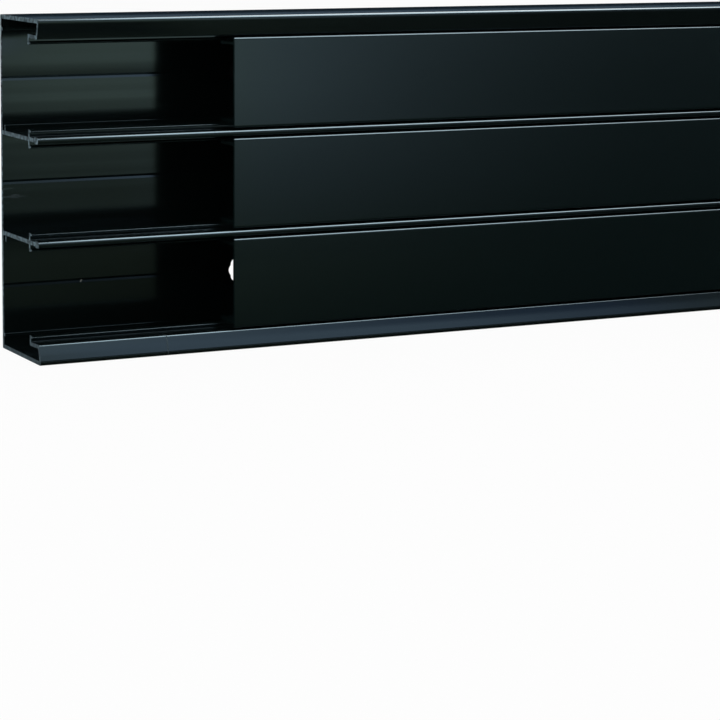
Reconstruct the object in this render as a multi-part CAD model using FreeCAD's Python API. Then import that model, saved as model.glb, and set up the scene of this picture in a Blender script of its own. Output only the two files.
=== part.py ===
import FreeCAD, Part
import math
import os

# Wall trunking with three compartments: one extruded base and three clip-on covers.
# The run lies along X and the open front faces -Y. The back, at +Y, goes to the wall.
# Z = 0 is the underside of the bottom wall, and the origin is under the middle of the run.
# Sections are drawn as (depth behind the front-most plane, height), in millimetres.

# Run
BASE_LENGTH = 2000.0
DEPTH = 55.0
COVER_NAMES = ("cover_bottom", "cover_middle", "cover_top")
COVER_SETBACK = 101.5

# Front: clear opening of each compartment, nose of each divider, crowned edge that leans in above and below
OPENING = 46.4
NOSE_HEIGHT = 3.2
NOSE_LENGTH = 5.0
NOSE_SETBACK = 1.5
NOSE_RADIUS = 1.5
EDGE_HEIGHT = 9.7
EDGE_FOOT = 1.9
EDGE_LEAN = 2.4
EDGE_CROWN = 0.08
EDGE_TIP_RADIUS = 1.0
FOOT_BEND_RADIUS = 2.5
CROWN_RADIUS = 60.0
INSIDE_CROWN_RADIUS = 30.0

# Walls
BACK_WALL = 2.0
OUTER_WALL = 2.0
EDGE_WALL = 1.8
WEB = 1.8
WEB_DROP = 0.3
DIVIDER_WALL = 2.0
CORNER_RADIUS = 1.2
BACK_CORNER_RADIUS = 0.8
ROOT_RADIUS = 0.6
TIP_RADIUS = 0.3

# Hooked lips that hold the covers, with a pointed bead along the free edge
LIP_SETBACK = 13.6
LIP_WALL = 1.6
LIP_REACH = 2.9
BEAD_WIDTH = 1.6
BEAD_REACH = 2.8
BEAD_RADIUS = 0.2

# Small ribs inside the two outer compartments
DIVIDER_RIB_HEIGHT = 3.0
DIVIDER_RIB_WALL = 1.0
DIVIDER_RIB_FROM_BACK = 6.0
BACK_RIB_FROM_EDGE = 7.0
BACK_RIB_WIDTH = 1.6
BACK_RIB_HEIGHT = 1.4

# Fine V-groove along the back wall of each compartment, to start a drill in
GROOVE_WIDTH = 2.2
GROOVE_DEPTH = 0.24
OUTER_GROOVE_OUTSET = 1.5

# Fixing slots on the grooves of the two outer compartments: an upright slot with a round middle
SLOT_LENGTH = 11.5
SLOT_WIDTH = 5.4
SLOT_ROUND_DIAMETER = 7.5
SLOT_FIRST = 125.0
SLOT_PITCH = 250.0

# Covers
COVER_WALL = 1.8
COVER_SIDE_CLEARANCE = 0.9
COVER_EDGE_RADIUS = 1.2
LEG_WALL = 1.5
LEG_CLEARANCE = 0.45
SEAT_CLEARANCE = 0.3
LEDGE_WALL = 1.2
LEDGE_PAST_BEAD = 0.6
BARB_OVERLAP = 0.9
BARB_LENGTH = 3.0
BARB_BLUNT = 0.5

# Sizes that follow from the above
COMPARTMENTS = len(COVER_NAMES)
PITCH = OPENING + NOSE_HEIGHT
HEIGHT = 2 * EDGE_HEIGHT + COMPARTMENTS * PITCH - NOSE_HEIGHT
CENTRES = [EDGE_HEIGHT + OPENING / 2 + i * PITCH for i in range(COMPARTMENTS)]
DIVIDERS = [centre + PITCH / 2 for centre in CENTRES[:-1]]
LOW_GROOVE = CENTRES[0] - OUTER_GROOVE_OUTSET
HIGH_GROOVE = CENTRES[-1] + OUTER_GROOVE_OUTSET
GROOVES = [LOW_GROOVE, *CENTRES[1:-1], HIGH_GROOVE]
LIP_BACK = LIP_SETBACK + LIP_WALL
BEAD_POINT = LIP_SETBACK - BEAD_REACH
INNER_BACK = DEPTH - BACK_WALL
INSIDE_BACK_WALL = DEPTH - BACK_WALL / 2
LIP_OPENING = OPENING - 2 * LIP_REACH
RUN_START = -BASE_LENGTH / 2
RUN_END = BASE_LENGTH / 2


def at(x, depth, height):
    return FreeCAD.Vector(x, depth - DEPTH / 2, height)


def rounded_corner(before, corner, after, radius):
    """Start, middle and end of the arc that rounds this corner."""
    to_before = (before - corner).normalize()
    to_after = (after - corner).normalize()
    half_angle = to_before.getAngle(to_after) / 2
    reach = radius / math.tan(half_angle)
    bisector = (to_before + to_after).normalize()
    middle = corner + bisector * (radius / math.sin(half_angle) - radius)
    return corner + to_before * reach, middle, corner + to_after * reach


def section(corners, x):
    """Flat face across the run at x. Each corner is (depth, height, radius)."""
    points = [at(x, depth, height) for depth, height, _ in corners]
    radii = [radius for _, _, radius in corners]
    count = len(points)
    arcs = []
    for i in range(count):
        if radii[i] > 0:
            arcs.append(rounded_corner(points[i - 1], points[i], points[(i + 1) % count], radii[i]))
        else:
            arcs.append((points[i], points[i], points[i]))
    edges = []
    for i in range(count):
        start, middle, end = arcs[i]
        if radii[i] > 0:
            edges.append(Part.Arc(start, middle, end).toShape())
        edges.append(Part.LineSegment(end, arcs[(i + 1) % count][0]).toShape())
    return Part.Face(Part.Wire(edges))


def mirrored(half, about):
    """A closed outline from its upper half, given front to back, and the mirror image of that half."""
    upper = [(depth, about + height, radius) for depth, height, radius in half]
    lower = [(depth, about - height, radius) for depth, height, radius in reversed(half)]
    return upper + lower


def lip(root, tip):
    """Corners of one hooked lip, from its root up its front, round the bead and over its free edge."""
    bead_middle = tip - BEAD_WIDTH / 2
    return [
        (LIP_SETBACK, root, TIP_RADIUS),
        (LIP_SETBACK, tip - BEAD_WIDTH, 0),
        (BEAD_POINT, bead_middle, BEAD_RADIUS),
        (LIP_SETBACK, tip, 0),
        (LIP_BACK, tip, TIP_RADIUS),
    ]


def edge_corners():
    """Bottom wall, crowned front edge, sloping web and lip, drawn as the bottom edge of the base."""
    middle = (EDGE_FOOT + EDGE_HEIGHT) / 2
    middle_lean = EDGE_LEAN / 2 - EDGE_CROWN
    upper_slope = (EDGE_LEAN - middle_lean) / (EDGE_HEIGHT - middle)
    under_web = EDGE_HEIGHT - WEB
    return [
        (INSIDE_BACK_WALL, 0, 0),
        (0, 0, CORNER_RADIUS),
        (0, EDGE_FOOT, FOOT_BEND_RADIUS),
        (middle_lean, middle, CROWN_RADIUS),
        (EDGE_LEAN, EDGE_HEIGHT, EDGE_TIP_RADIUS),
        *lip(EDGE_HEIGHT - WEB_DROP, EDGE_HEIGHT + LIP_REACH),
        (LIP_BACK, under_web - WEB_DROP, ROOT_RADIUS),
        (EDGE_WALL + EDGE_LEAN - WEB * upper_slope, under_web, ROOT_RADIUS),
        (EDGE_WALL + middle_lean, middle, INSIDE_CROWN_RADIUS),
        (EDGE_WALL, OUTER_WALL, ROOT_RADIUS),
        (INSIDE_BACK_WALL, OUTER_WALL, 0),
    ]


def divider_half():
    """Upper half of a divider: nose, neck, lip and the wall that runs back to the back wall."""
    nose_back = NOSE_SETBACK + NOSE_LENGTH
    return [
        (NOSE_SETBACK, NOSE_HEIGHT / 2, NOSE_RADIUS),
        (nose_back, NOSE_HEIGHT / 2, TIP_RADIUS),
        (nose_back, DIVIDER_WALL / 2, 0),
        *lip(DIVIDER_WALL / 2, NOSE_HEIGHT / 2 + LIP_REACH),
        (LIP_BACK, DIVIDER_WALL / 2, ROOT_RADIUS),
        (INSIDE_BACK_WALL, DIVIDER_WALL / 2, 0),
    ]


def cover_half():
    """Upper half of a cover: plate, leg, the ledge that seats on the bead and the barb behind the lip."""
    plate_back = NOSE_SETBACK + COVER_WALL
    leg_outside = LIP_OPENING / 2 - LEG_CLEARANCE
    leg_inside = leg_outside - LEG_WALL
    seat = BEAD_POINT - SEAT_CLEARANCE
    ledge_tip = LIP_OPENING / 2 + BEAD_WIDTH / 2 + LEDGE_PAST_BEAD
    shoulder = LIP_BACK + SEAT_CLEARANCE
    leg_end = shoulder + BARB_LENGTH
    cover_edge = OPENING / 2 - COVER_SIDE_CLEARANCE
    return [
        (NOSE_SETBACK, cover_edge, COVER_EDGE_RADIUS),
        (plate_back, cover_edge, TIP_RADIUS),
        (plate_back, leg_outside, TIP_RADIUS),
        (seat - LEDGE_WALL, leg_outside, 0),
        (seat - LEDGE_WALL, ledge_tip, TIP_RADIUS),
        (seat, ledge_tip, TIP_RADIUS),
        (seat, leg_outside, 0),
        (shoulder, leg_outside, 0),
        (shoulder, LIP_OPENING / 2 + BARB_OVERLAP, BEAD_RADIUS),
        (leg_end, leg_inside + BARB_BLUNT, 0),
        (leg_end, leg_inside, 0),
        (plate_back, leg_inside, ROOT_RADIUS),
    ]


def divider_rib(centre, side):
    """Rib that stands on a divider near the back wall, on its upper side (1) or its lower side (-1)."""
    back = DEPTH - DIVIDER_RIB_FROM_BACK + DIVIDER_RIB_WALL / 2
    front = back - DIVIDER_RIB_WALL
    tip = centre + side * (DIVIDER_WALL / 2 + DIVIDER_RIB_HEIGHT)
    return [
        (front, centre, 0),
        (back, centre, 0),
        (back, tip, TIP_RADIUS),
        (front, tip, TIP_RADIUS),
    ]


def back_rib(height):
    """Low rib with a rounded crest along the inside of the back wall."""
    crest = INNER_BACK - BACK_RIB_HEIGHT
    return [
        (INSIDE_BACK_WALL, height - BACK_RIB_WIDTH / 2, 0),
        (crest, height - BACK_RIB_WIDTH / 2, TIP_RADIUS),
        (crest, height + BACK_RIB_WIDTH / 2, TIP_RADIUS),
        (INSIDE_BACK_WALL, height + BACK_RIB_WIDTH / 2, 0),
    ]


def groove(height):
    return [
        (INNER_BACK, height - GROOVE_WIDTH / 2, 0),
        (INNER_BACK + GROOVE_DEPTH, height, 0),
        (INNER_BACK, height + GROOVE_WIDTH / 2, 0),
    ]


def base_section():
    bottom_edge = edge_corners()
    top_edge = [(depth, HEIGHT - height, radius) for depth, height, radius in bottom_edge]
    back_wall = [
        (INNER_BACK, 0, 0),
        (DEPTH, 0, BACK_CORNER_RADIUS),
        (DEPTH, HEIGHT, BACK_CORNER_RADIUS),
        (INNER_BACK, HEIGHT, 0),
    ]
    outlines = [bottom_edge, top_edge]
    outlines += [mirrored(divider_half(), centre) for centre in DIVIDERS]
    outlines += [divider_rib(DIVIDERS[0], -1), divider_rib(DIVIDERS[-1], 1)]
    outlines += [back_rib(BACK_RIB_FROM_EDGE), back_rib(HEIGHT - BACK_RIB_FROM_EDGE)]
    whole = section(back_wall, RUN_START).fuse([section(outline, RUN_START) for outline in outlines])
    grooves = [section(groove(height), RUN_START) for height in GROOVES]
    return whole.cut(grooves).removeSplitter().Faces[0]


def slot_cutter(x, height):
    """Cutter through the back wall: an upright slot with round ends and a round hole in its middle."""
    radius = SLOT_WIDTH / 2
    straight = SLOT_LENGTH - SLOT_WIDTH
    through = FreeCAD.Vector(0, 1, 0)
    front = INNER_BACK - BACK_WALL
    reach = 3 * BACK_WALL
    low = at(x, front, height - straight / 2)
    high = at(x, front, height + straight / 2)
    middle = Part.makeBox(SLOT_WIDTH, reach, straight, low - FreeCAD.Vector(radius, 0, 0))
    ends = [Part.makeCylinder(radius, reach, end, through) for end in (low, high)]
    round_hole = Part.makeCylinder(SLOT_ROUND_DIAMETER / 2, reach, at(x, front, height), through)
    return middle.fuse([*ends, round_hole]).removeSplitter()


def trunking_base():
    body = base_section().extrude(FreeCAD.Vector(BASE_LENGTH, 0, 0))
    count = int((BASE_LENGTH - 2 * SLOT_FIRST) / SLOT_PITCH) + 1
    places = [RUN_START + SLOT_FIRST + i * SLOT_PITCH for i in range(count)]
    return body.cut([slot_cutter(x, height) for x in places for height in (LOW_GROOVE, HIGH_GROOVE)])


def cover(centre):
    start = RUN_START + COVER_SETBACK
    profile = section(mirrored(cover_half(), centre), start)
    return profile.extrude(FreeCAD.Vector(RUN_END - start, 0, 0))


def write(name, shape):
    solid = shape.Solids[0]
    solid.exportStep(f"parts/{name}.step")
    box = solid.BoundBox
    size = f"{box.XLength:.2f} x {box.YLength:.2f} x {box.ZLength:.2f} mm"
    print(f"{name}: {size}, {solid.Volume / 1000:.1f} cm3, valid {solid.isValid()}, {len(shape.Solids)} solid")


os.makedirs("parts", exist_ok=True)
write("trunking_base", trunking_base())
for cover_name, cover_centre in zip(COVER_NAMES, CENTRES):
    write(cover_name, cover(cover_centre))
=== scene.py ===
"""Looks of a black wall trunking with three cable compartments and three sliding covers.

Metres. +X runs along the trunking from its open end, +Y points to the wall, +Z is up.
"""
import math

import bmesh
import bpy
from mathutils import Matrix, Vector

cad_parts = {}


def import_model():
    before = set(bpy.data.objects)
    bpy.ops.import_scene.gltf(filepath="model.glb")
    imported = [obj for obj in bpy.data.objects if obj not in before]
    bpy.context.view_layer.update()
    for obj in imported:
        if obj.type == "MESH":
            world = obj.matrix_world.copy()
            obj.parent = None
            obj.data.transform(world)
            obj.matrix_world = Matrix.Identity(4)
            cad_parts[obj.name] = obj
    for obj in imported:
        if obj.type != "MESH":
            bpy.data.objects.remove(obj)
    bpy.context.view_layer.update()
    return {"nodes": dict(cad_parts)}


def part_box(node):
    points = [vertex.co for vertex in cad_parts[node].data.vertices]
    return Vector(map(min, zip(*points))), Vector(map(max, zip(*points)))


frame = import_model()

COVERS = ("cover_top", "cover_middle", "cover_bottom")
OPEN_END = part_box("trunking_base")[0].x
FAR_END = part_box("trunking_base")[1].x

# Camera at the photograph's place
CAMERA_PLACE = (-1.4062, -1.1638, 0.2246)
CAMERA_YAW = math.radians(26.873)
CAMERA_PITCH = math.radians(5.612)
CAMERA_ROLL = math.radians(0.282)
CAMERA_SHIFT = -0.3
LENS = 127.58
SENSOR = 36.0

# Floor and surroundings
FLOOR_SIZE = 40.0
FLOOR_DROP = 0.0002
FLOOR_COLOUR = (0.82, 0.83, 0.84, 1)
FLOOR_WHITE_SHARE = 0.95
WHITE = (1, 1, 1, 1)
AMBIENT = 0.4

# Cards that the plastic mirrors
CARD_COLOUR = (0.02, 0.02, 0.02, 1)
REAR_CARD_COLOUR = (0.013, 0.023, 0.035, 1)
REAR_TINT = (0.5, 0.75, 1.0, 1)
NEAR_TINT = (0.98, 1.0, 0.55, 1)
FLOOR_CARD_HEIGHT = -FLOOR_DROP / 2

# The camera as the covers mirror it, from where the front floor card's pattern fans out
MIRRORED_CAMERA_X, MIRRORED_CAMERA_Y = -1.41, 1.10

# How far the front floor card is open: at the object's foot, growing with depth, and closing to one side
OPEN_AT_FOOT, OPEN_SLOPE, OPEN_CURVE = 0.02, 0.45, 0.11
CLOSED_BEARING, CLOSING_SPAN, LEAST_OPEN = 0.685, 0.25, 0.08

# Dark card behind the top slot of the open end: painted shade that the camera sees through the slot
SLOT_SHADE_CARD_PLACE = (-0.8730, 0.0300, 0.1332)
SLOT_SHADE_CARD_SIZE = 0.02

# Lamps
WARM_LIGHT = (1.0, 0.92, 0.88)
COOL_LIGHT = (0.94, 0.98, 1.0)
BLUE_LIGHT = (0.1, 0.3, 1.0)
LEAST_TILT = 0.001

# Colours of the plastic
BASE_BLACK = (0.0028, 0.0051, 0.0049, 1)
COVER_BLACK = (0.0028, 0.0064, 0.0064, 1)
COVER_RUBBED = (0.0033, 0.0072, 0.0072, 1)
SAWN_PALE = (0.126, 0.180, 0.204, 1)
SAWN_DARK = (0.024, 0.036, 0.041, 1)
SCUFF_GREY = (0.05, 0.06, 0.06, 1)
SCUFF_SHARE = 0.5
NICK_PALE = (0.24, 0.25, 0.22, 1)

# Gloss of the plastic
SHEEN_TINT = (0.56, 0.84, 1.0, 1)
BASE_IOR = 1.62
COVER_IOR = 1.58
SMOOTH_ROUGHNESS = 0.095
DIE_LINE_ROUGHNESS = 0.03
WAVE_ROUGHNESS = 0.02
TOP_WALL_POLISH = 0.08
SCUFF_ROUGHNESS = 0.3
HAIRLINE_ROUGHNESS = 0.4
RUB_LINE_ROUGHNESS = 0.05
SAWN_ROUGHNESS = 0.55

# Patterns of the surface marks, as repeats per metre along X, Y and Z
DIE_LINE_SCALE = (1.5, 900, 900)
WAVE_SCALE = (6, 60, 60)
BAND_SCALE = (0.3, 1, 125)
SCUFF_SCALE = (90, 1, 500)
TORN_SCALE = (1, 420, 420)
SAW_MARK_SCALE = (1, 700, 700)
RUB_LINE_SCALE = (25, 1, 1400)
RUBBED_SCALE = (9, 20, 20)

# Share of the noise at which a mark starts and at which it is full
SCUFF_CUT = (0.52, 0.66)
TORN_CUT = (0.42, 0.60)
RUB_LINE_CUT = (0.66, 0.72)

# Heights of the surface marks
DIE_LINE_HEIGHT = 0.0000024
SAW_MARK_HEIGHT = 0.000024
BAND_HEIGHT = 0.00008
CROWN_HEIGHT = 0.00012
DISH_DEPTH = 0.00020
FOOT_DEPTH = 0.00007
TOP_TILT, END_TILT = 0.004, -0.014

# Places of the surface marks on the base
HALF_DEPTH = 0.0275
INSIDE_BACK_FROM, INSIDE_BACK_TO = 0.0253, 0.0265
TOP_WALL = 0.1648
TILT_FROM, TILT_CHANGE = 0.1449, 0.025
DISH_FROM, DISH_SPAN = 0.1414, 0.0067
FOOT_FROM, FOOT_SPAN = 0.1240, 0.0110
SCUFF_LOWER_EDGE = (0.071, 0.074)
SCUFF_UPPER_EDGE = (0.078, 0.081)
SCUFF_END = (-0.996, -0.984)
NICK_X, NICK_Z, NICK_RADIUS, NICK_SLOPE = -0.9595, 0.0312, 0.00055, 0.8
HAIRLINE_X, HAIRLINE_HALF_WIDTH = -0.9345, 0.0003
HAIRLINE_BACK, HAIRLINE_TOP = -0.02, 0.0105
SAWN_SKIN = 0.00002
# Sawn faces are painted darker below this height as shade, keeping this share of their pale flecks at the
# floor
SAWN_SHADE_TOP, SAWN_SHADE_PALE_SHARE = 0.03, 0.3


class Value:
    """A shader value. Arithmetic on it adds the Math nodes that work it out."""

    def __init__(self, nodes, socket):
        self.nodes = nodes
        self.socket = socket

    def math(self, operation, *others):
        return self.nodes.node("Math", {"operation": operation}, dict(enumerate((self, *others))))

    def __add__(self, other):
        return self.math("ADD", other)

    def __radd__(self, other):
        return self.math("ADD", other)

    def __sub__(self, other):
        return self.math("SUBTRACT", other)

    def __rsub__(self, other):
        return self.nodes.node("Math", {"operation": "SUBTRACT"}, {0: other, 1: self})

    def __mul__(self, other):
        return self.math("MULTIPLY", other)

    def __rmul__(self, other):
        return self.math("MULTIPLY", other)

    def __truediv__(self, other):
        return self.math("DIVIDE", other)

    def __lt__(self, other):
        return self.math("LESS_THAN", other)

    def __gt__(self, other):
        return self.math("GREATER_THAN", other)

    def __abs__(self):
        return self.math("ABSOLUTE")

    def least(self, other):
        return self.math("MINIMUM", other)

    def most(self, other):
        return self.math("MAXIMUM", other)

    def within_one(self):
        """Held between 0 and 1."""
        return self.most(0.0).least(1.0)

    def rise(self, start, end, low=0.0, high=1.0):
        """Goes smoothly from low at start to high at end."""
        settings = {"interpolation_type": "SMOOTHSTEP"}
        limits = {"From Min": start, "From Max": end, "To Min": low, "To Max": high}
        return self.nodes.node("MapRange", settings, {"Value": self, **limits})


class Nodes:
    """The node tree of a material or of the world."""

    def __init__(self, owner):
        owner.use_nodes = True
        self.tree = owner.node_tree
        self.tree.nodes.clear()

    def node(self, kind, settings=None, inputs=None, output=0):
        """Adds a node: its settings first, then the values or links of its sockets."""
        made = self.tree.nodes.new("ShaderNode" + kind)
        for name, value in (settings or {}).items():
            setattr(made, name, value)
        for name, value in (inputs or {}).items():
            if isinstance(value, Value):
                self.tree.links.new(value.socket, made.inputs[name])
            else:
                made.inputs[name].default_value = value
        return Value(self, made.outputs[output]) if made.outputs else None

    def place(self):
        """Object coordinates, whole and split into x, y and z."""
        whole = self.node("TexCoord", output="Object")
        split = self.node("SeparateXYZ", inputs={"Vector": whole}).socket.node
        return whole, *(Value(self, socket) for socket in split.outputs)

    def noise(self, place, scale, detail=2.0, shift=(0, 0, 0)):
        """Noise from 0 to 1, drawn out along the axes whose scale is small."""
        mapped = self.node("Mapping", None, {"Vector": place, "Scale": scale, "Location": shift})
        return self.node("TexNoise", None, {"Vector": mapped, "Scale": 1.0, "Detail": detail})

    def colour(self, share, first, second):
        """The first colour where share is 0, the second where it is 1."""
        return self.node("Mix", {"data_type": "RGBA"}, {0: share, 6: first, 7: second}, output=2)

    def mix(self, share, first, second):
        """The first shader where share is 0, the second where it is 1."""
        return self.node("MixShader", None, {0: share, 1: first, 2: second})

    def finish(self, surface, kind="OutputMaterial"):
        self.node(kind, None, {"Surface": surface})

    def seen(self):
        """1 for what the camera sees, straight, mirrored or through glass."""
        rays = self.node("LightPath").socket.node
        names = ("Is Camera Ray", "Is Glossy Ray", "Is Transmission Ray")
        camera, glossy, through = (Value(self, rays.outputs[name]) for name in names)
        return camera.most(glossy).most(through)


def new_material(name):
    material = bpy.data.materials.new(name)
    return material, Nodes(material)


def add_object(name, mesh_builder, material):
    """Makes an object from a bmesh, at the origin."""
    shape = bmesh.new()
    mesh_builder(shape)
    mesh = bpy.data.meshes.new(name)
    shape.to_mesh(mesh)
    shape.free()
    mesh.materials.append(material)
    made = bpy.data.objects.new(name, mesh)
    bpy.context.scene.collection.objects.link(made)
    return made


def plastic(nodes, colour, roughness, height, ior):
    """Glossy black plastic; the surface marks come as a height in metres."""
    bump = nodes.node("Bump", None, {"Height": height, "Distance": 1.0, "Strength": 1.0}, output="Normal")
    varying = {"Base Color": colour, "Roughness": roughness, "Normal": bump}
    return nodes.node("BsdfPrincipled", None, {**varying, "IOR": ior, "Specular Tint": SHEEN_TINT})


def extruded_finish(nodes, whole):
    """Roughness and height of the lines that the die leaves along the run."""
    die_lines = nodes.noise(whole, DIE_LINE_SCALE, detail=3)
    waves = nodes.noise(whole, WAVE_SCALE, detail=2)
    roughness = SMOOTH_ROUGHNESS + DIE_LINE_ROUGHNESS * die_lines + WAVE_ROUGHNESS * waves
    return roughness, die_lines * DIE_LINE_HEIGHT


def back_wall_relief(nodes, whole, x, z):
    """Sink marks of the inside back wall: drawn in above the top groove and at the top compartment's foot,
    tilted near the top wall and faintly banded."""
    bands = nodes.noise(whole, BAND_SCALE, detail=1, shift=(0, 0, 3))
    dish = ((DISH_FROM - z) / DISH_SPAN).within_one()
    foot = ((FOOT_FROM - z) / FOOT_SPAN).within_one()
    tilt = (z - TILT_FROM).most(0.0) * x.rise(OPEN_END, OPEN_END + TILT_CHANGE, END_TILT, TOP_TILT)
    return bands * BAND_HEIGHT + tilt - dish * dish * DISH_DEPTH - foot * foot * FOOT_DEPTH


def base_plastic():
    """The base: crowned top wall, marked back wall, and torn pale faces where the run was sawn off, with
    painted shade darkening the sawn faces towards the floor.
    """
    material, nodes = new_material("base_plastic")
    whole, x, y, z = nodes.place()
    roughness, height = extruded_finish(nodes, whole)

    inside_back = (y > INSIDE_BACK_FROM) * (y < INSIDE_BACK_TO)
    across = y / HALF_DEPTH
    height = height + inside_back * back_wall_relief(nodes, whole, x, z) - across * across * CROWN_HEIGHT
    roughness = roughness - (z > TOP_WALL) * TOP_WALL_POLISH

    scuff_band = z.rise(*SCUFF_LOWER_EDGE) * z.rise(*SCUFF_UPPER_EDGE, 1.0, 0.0)
    scuff_place = scuff_band * x.rise(*SCUFF_END, 1.0, 0.0)
    scuffs = inside_back * scuff_place * nodes.noise(whole, SCUFF_SCALE, detail=3).rise(*SCUFF_CUT)
    nick_across = (x - NICK_X) / NICK_RADIUS
    nick_up = (z - NICK_Z - (x - NICK_X) * NICK_SLOPE) / NICK_RADIUS
    nick = inside_back * (nick_across * nick_across + nick_up * nick_up < 1)
    hairline = (abs(x - HAIRLINE_X) < HAIRLINE_HALF_WIDTH) * (y < HAIRLINE_BACK) * (z < HAIRLINE_TOP)
    colour = nodes.colour(scuffs * SCUFF_SHARE, BASE_BLACK, SCUFF_GREY)
    colour = nodes.colour(nick, colour, NICK_PALE)
    roughness = roughness + SCUFF_ROUGHNESS * scuffs + HAIRLINE_ROUGHNESS * hairline

    sawn = (x < OPEN_END + SAWN_SKIN).most(x > FAR_END - SAWN_SKIN)
    torn = nodes.noise(whole, TORN_SCALE, detail=2, shift=(0, 5, 2))
    saw_marks = nodes.noise(whole, SAW_MARK_SCALE, detail=4)
    # Torn flecks make the sawn faces pale; painted shade makes them darker towards the floor
    pale = torn.rise(*TORN_CUT) * z.rise(0.0, SAWN_SHADE_TOP, SAWN_SHADE_PALE_SHARE, 1.0)
    sawn_colour = nodes.colour(pale, SAWN_DARK, SAWN_PALE)
    colour = nodes.colour(sawn, colour, sawn_colour)
    roughness = roughness + sawn * (SAWN_ROUGHNESS - roughness)
    height = height + sawn * saw_marks * SAW_MARK_HEIGHT
    nodes.finish(plastic(nodes, colour, roughness, height, BASE_IOR))
    return material


def cover_plastic():
    """The covers: the same plastic, lightly rubbed, with fine rub lines along the run."""
    material, nodes = new_material("cover_plastic")
    whole = nodes.place()[0]
    roughness, height = extruded_finish(nodes, whole)
    rub_lines = nodes.noise(whole, RUB_LINE_SCALE, detail=2, shift=(3, 0, 1)).rise(*RUB_LINE_CUT)
    rubbed = nodes.noise(whole, RUBBED_SCALE, detail=3, shift=(1, 4, 2))
    colour = nodes.colour(rubbed, COVER_BLACK, COVER_RUBBED)
    roughness = roughness + RUB_LINE_ROUGHNESS * rub_lines
    nodes.finish(plastic(nodes, colour, roughness, height, COVER_IOR))
    return material


def dress(node, material):
    mesh = frame["nodes"][node].data
    mesh.materials.clear()
    mesh.materials.append(material)


def floor():
    """A pale floor that looks white and keeps the object's shadow."""
    material, nodes = new_material("pale_floor")
    matt = nodes.node("BsdfDiffuse", None, {"Color": FLOOR_COLOUR})
    white = nodes.node("Emission", None, {"Color": WHITE, "Strength": 1.0})
    nodes.finish(nodes.mix(nodes.seen() * FLOOR_WHITE_SHARE, matt, white))

    def shape(bm):
        bmesh.ops.create_grid(bm, x_segments=1, y_segments=1, size=FLOOR_SIZE / 2)
        bmesh.ops.translate(bm, vec=(0, 0, -FLOOR_DROP), verts=bm.verts)

    add_object("floor", shape, material)


def world():
    """White surroundings that give less light than they show."""
    made = bpy.data.worlds.new("studio")
    bpy.context.scene.world = made
    nodes = Nodes(made)
    strength = AMBIENT + (1 - AMBIENT) * nodes.seen()
    light = nodes.node("Background", None, {"Color": WHITE, "Strength": strength})
    nodes.finish(light, "OutputWorld")


def dark_card(name, turn, place, size, mask, colour=CARD_COLOUR, tint=WHITE, whiter=None):
    """A dark card that only shows as a reflection.

    Mask gives how dense it is and tint the colour of its clear part, which whiter takes back to white.
    """
    material, nodes = new_material(name)
    axes = nodes.place()[1:]
    clear = nodes.node("BsdfTransparent", None, {"Color": tint})
    if whiter:
        white = nodes.node("BsdfTransparent", None, {"Color": WHITE})
        clear = nodes.mix(whiter(*axes), clear, white)
    dark = nodes.node("BsdfDiffuse", None, {"Color": colour})
    nodes.finish(nodes.mix(mask(*axes), clear, dark))

    def shape(bm):
        bmesh.ops.create_grid(bm, x_segments=1, y_segments=1, size=0.5)
        bmesh.ops.scale(bm, vec=(*size, 1), verts=bm.verts)
        bmesh.ops.transform(bm, matrix=Matrix.Translation(place) @ turn, verts=bm.verts)

    card = add_object(name, shape, material)
    card.visible_camera = False
    card.visible_diffuse = False
    card.visible_transmission = False
    card.visible_shadow = False


def floor_bearing(x, y):
    """Sideways run for each metre of depth, from the mirrored camera to a point of the floor."""
    return (x - MIRRORED_CAMERA_X) / (MIRRORED_CAMERA_Y - y)


def front_floor_mask(x, y, z):
    bearing = floor_bearing(x, y)
    depth = 0 - y
    open_depth = (OPEN_AT_FOOT + OPEN_SLOPE * depth + OPEN_CURVE * depth * depth).least(1.0)
    fall = ((CLOSED_BEARING - bearing) / CLOSING_SPAN).within_one()
    open_side = (LEAST_OPEN + (1 - LEAST_OPEN) * fall * fall) * bearing.rise(0.32, 0.39, 0.5, 1.0)
    left = bearing.rise(0.42, 0.455, 1.0, 0.0)
    right = bearing.rise(0.46, 0.56)
    left_change = depth.rise(1.0, 1.4, 0.0, 0.28) - depth.rise(0.35, 0.5, 0.0, 0.28)
    right_change = depth.rise(0.3, 0.6, 0.0, 0.14) - depth.rise(0.9, 1.3, 0.0, 0.36)
    return 1 - open_depth * open_side * (1 + left * left_change + right * right_change)


def front_floor_whiter(x, y, z):
    return (0 - y).rise(0.05, 0.7) * floor_bearing(x, y).rise(0.425, 0.465, 0.45, 1.0)


def low_flag_mask(x, y, z):
    across = y.rise(-0.30, -0.26) * y.rise(-0.192, -0.178, 0.95, 0.0)
    return across * x.rise(-0.86, -0.80, 1.0, 0.2)


def front_mask(x, y, z):
    """A dark band at the height that the covers mirror, denser to the right and overhead."""
    left_lift = x.rise(0.1, 0.35, 0.1, 0.0)
    band = z.rise(0.1, 0.25, 0.0, 0.97) * (z - left_lift).rise(0.8, 1.12, 1.0, 0.0)
    low = x.rise(0.7, 1.6, 0.0, 0.65)
    high = x.rise(0.2, 1.2, 0.0, 0.85)
    side = low + (high - low) * z.rise(1.15, 1.40)
    return band.most(side).most(z.rise(1.5, 3.0, 0.0, 0.6))


def rear_floor_mask(x, y, z):
    return y.rise(0.05, 2.5, 0.8, 0.3)


def rear_mask(x, y, z):
    return 1 - z.rise(0.242, 0.262, 0.0, 0.09) - z.rise(1.5, 2.5, 0.0, 0.91)


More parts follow.
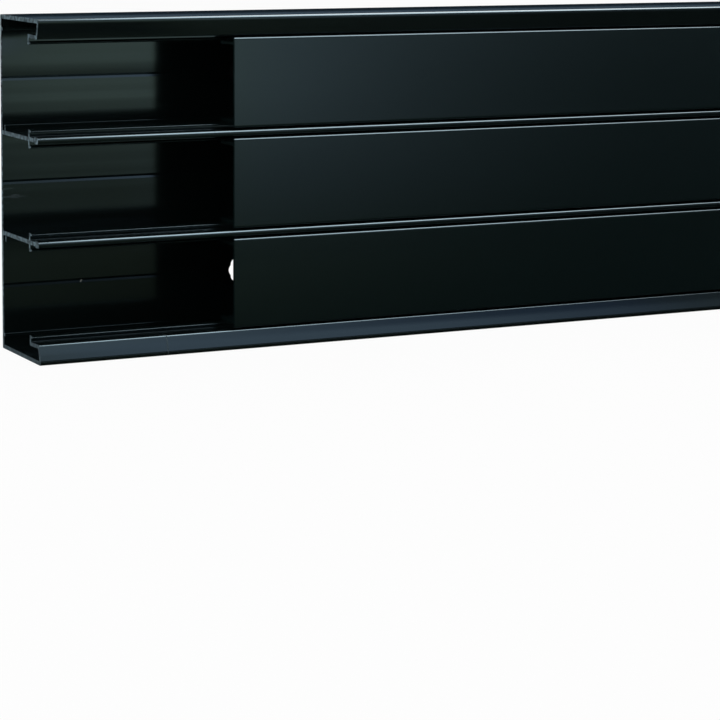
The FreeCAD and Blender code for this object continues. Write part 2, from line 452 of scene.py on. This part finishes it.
def dark_cards():
    flat = Matrix.Identity(4)
    upright = Matrix.Rotation(math.radians(90), 4, "X")
    dark_card(
        "front_floor_card",
        flat,
        place=(1.0, -2.02, FLOOR_CARD_HEIGHT),
        size=(8.0, 4.0),
        mask=front_floor_mask,
        tint=NEAR_TINT,
        whiter=front_floor_whiter,
    )
    dark_card("low_flag", flat, place=(-0.4, -0.24, 0.02), size=(1.8, 0.14), mask=low_flag_mask)
    dark_card("front_card", upright, place=(1.0, -3.0, 2.0), size=(14.0, 4.0), mask=front_mask)
    dark_card(
        "rear_floor_card",
        flat,
        place=(0.5, 1.98, FLOOR_CARD_HEIGHT),
        size=(9.0, 4.0),
        mask=rear_floor_mask,
    )
    dark_card(
        "rear_card",
        upright,
        place=(0.5, 1.6, 1.3),
        size=(9.0, 2.6),
        mask=rear_mask,
        colour=REAR_CARD_COLOUR,
        tint=REAR_TINT,
    )


def slot_shade_card():
    """A dark card behind the top slot of the open end, painted shade seen through the slot; clear when it
    is seen from behind.
    """
    material, nodes = new_material("slot_shade_card")
    facing = nodes.node("NewGeometry", output="Backfacing")
    # The dark side paints the shade inside the top slot
    dark_shade_sheet = nodes.node("BsdfDiffuse", None, {"Color": CARD_COLOUR})
    clear = nodes.node("BsdfTransparent", None, {"Color": WHITE})
    nodes.finish(nodes.mix(facing, dark_shade_sheet, clear))

    def shape(bm):
        bmesh.ops.create_grid(bm, x_segments=1, y_segments=1, size=SLOT_SHADE_CARD_SIZE / 2)
        turn = Matrix.Rotation(math.radians(90), 4, "X")
        bmesh.ops.transform(bm, matrix=Matrix.Translation(SLOT_SHADE_CARD_PLACE) @ turn, verts=bm.verts)

    # Only the camera and rays through glass see this painted shade; shadows, diffuse light and reflections
    # pass it by
    slot_shade_object = add_object("slot_shade_card", shape, material)
    slot_shade_object.visible_shadow = False
    slot_shade_object.visible_diffuse = False
    slot_shade_object.visible_glossy = False


def lamp(name, place, aim, size, power, colour, shape="RECTANGLE", gloss_only=False):
    """A soft lamp. Its first side stays level, and along X where the lamp looks straight down."""
    data = bpy.data.lights.new(name, "AREA")
    data.shape = shape
    data.size, data.size_y = size
    data.energy = power
    data.color = colour
    made = bpy.data.objects.new(name, data)
    bpy.context.scene.collection.objects.link(made)
    back = (Vector(place) - Vector(aim)).normalized()
    tilt = math.acos(back.z)
    heading = math.atan2(back.x, -back.y) if tilt > LEAST_TILT else 0.0
    turn = Matrix.Rotation(heading, 4, "Z") @ Matrix.Rotation(tilt, 4, "X")
    made.matrix_world = Matrix.Translation(place) @ turn
    made.visible_camera = False
    made.visible_diffuse = not gloss_only


def lamps():
    lamp(
        "overhead",
        place=(-0.15, -0.2, 1.3),
        aim=(-0.15, -0.2, 0.0),
        size=(0.9, 1.8),
        power=8,
        colour=WARM_LIGHT,
    )
    lamp(
        "edge_light",
        place=(-0.08, -0.2, 1.27),
        aim=(-0.08, -0.2, 0.0),
        size=(0.94, 2.2),
        power=46,
        colour=WARM_LIGHT,
        shape="ELLIPSE",
        gloss_only=True,
    )
    lamp(
        "front_glow",
        place=(0.72, -2.9, 1.15),
        aim=(-0.8, 0, 0.08),
        size=(1.1, 0.7),
        power=0.55,
        colour=BLUE_LIGHT,
        gloss_only=True,
    )
    lamp(
        "high_front",
        place=(-0.3, -2.0, 1.5),
        aim=(-0.9, 0, 0.05),
        size=(1.6, 0.6),
        power=6,
        colour=WARM_LIGHT,
        gloss_only=True,
    )
    lamp(
        "left_fill",
        place=(-2.6, -0.8, 1.0),
        aim=(-1.0, 0, 0.08),
        size=(1.2, 1.2),
        power=18,
        colour=COOL_LIGHT,
    )


def camera():
    data = bpy.data.cameras.new("camera")
    data.lens = LENS
    data.sensor_width = SENSOR
    data.shift_y = CAMERA_SHIFT
    made = bpy.data.objects.new("camera", data)
    bpy.context.scene.collection.objects.link(made)
    turn = (
        Matrix.Rotation(-CAMERA_YAW, 4, "Z")
        @ Matrix.Rotation(math.pi / 2 - CAMERA_PITCH, 4, "X")
        @ Matrix.Rotation(CAMERA_ROLL, 4, "Z")
    )
    made.matrix_world = Matrix.Translation(CAMERA_PLACE) @ turn
    bpy.context.scene.camera = made


camera()
world()
floor()
dark_cards()
slot_shade_card()
lamps()
dress("trunking_base", base_plastic())
cover_finish = cover_plastic()
for cover in COVERS:
    dress(cover, cover_finish)
bpy.context.scene.view_settings.view_transform = "Standard"
